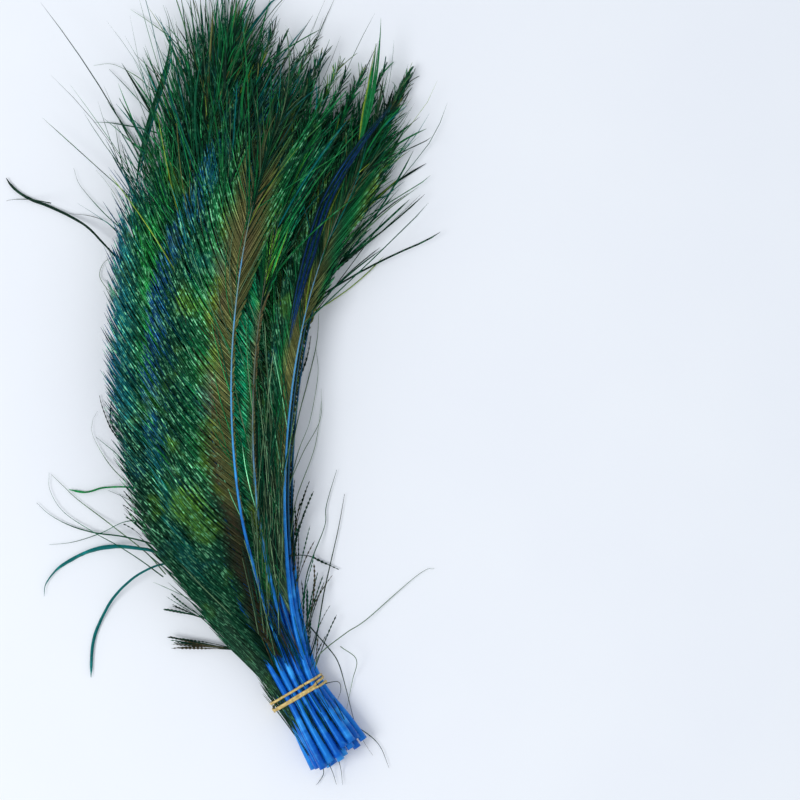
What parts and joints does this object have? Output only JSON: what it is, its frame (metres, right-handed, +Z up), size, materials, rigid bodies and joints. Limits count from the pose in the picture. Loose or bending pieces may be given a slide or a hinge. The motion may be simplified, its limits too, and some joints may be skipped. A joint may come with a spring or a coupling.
{
  "type": "peacock feather bundle",
  "caption": "Curved bunch of dyed peacock sword feathers, their cut quills held by a wound rubber band, with long loose barbs that fan out to one side.",
  "frame": {"origin": "on the table surface under the middle of the rubber band", "axes": "+Y from the band towards the feather tips, +X to the right with the bunch's hollow side on the right, +Z up"},
  "size_m": [0.1659, 0.304, 0.0265],
  "materials": {
    "feather": "dyed peacock barbs, iridescent green with bronze near the shaft and blue at the outer edge, on glossy bright blue quills",
    "rubber_band": "plain natural tan rubber, satin"
  },
  "bodies": {
    "root": {"feather_01": "feather", "feather_02": "feather", "feather_03": "feather", "feather_04": "feather", "feather_05": "feather", "feather_06": "feather", "feather_07": "feather", "feather_08": "feather", "feather_09": "feather", "feather_10": "feather", "feather_11": "feather", "feather_12": "feather", "feather_13": "feather", "feather_14": "feather", "feather_15": "feather", "feather_16": "feather", "feather_17": "feather", "feather_18": "feather", "feather_19": "feather", "feather_20": "feather", "feather_21": "feather", "feather_22": "feather", "feather_23": "feather", "feather_24": "feather", "rubber_band": "rubber_band"}
  },
  "joints": []
}
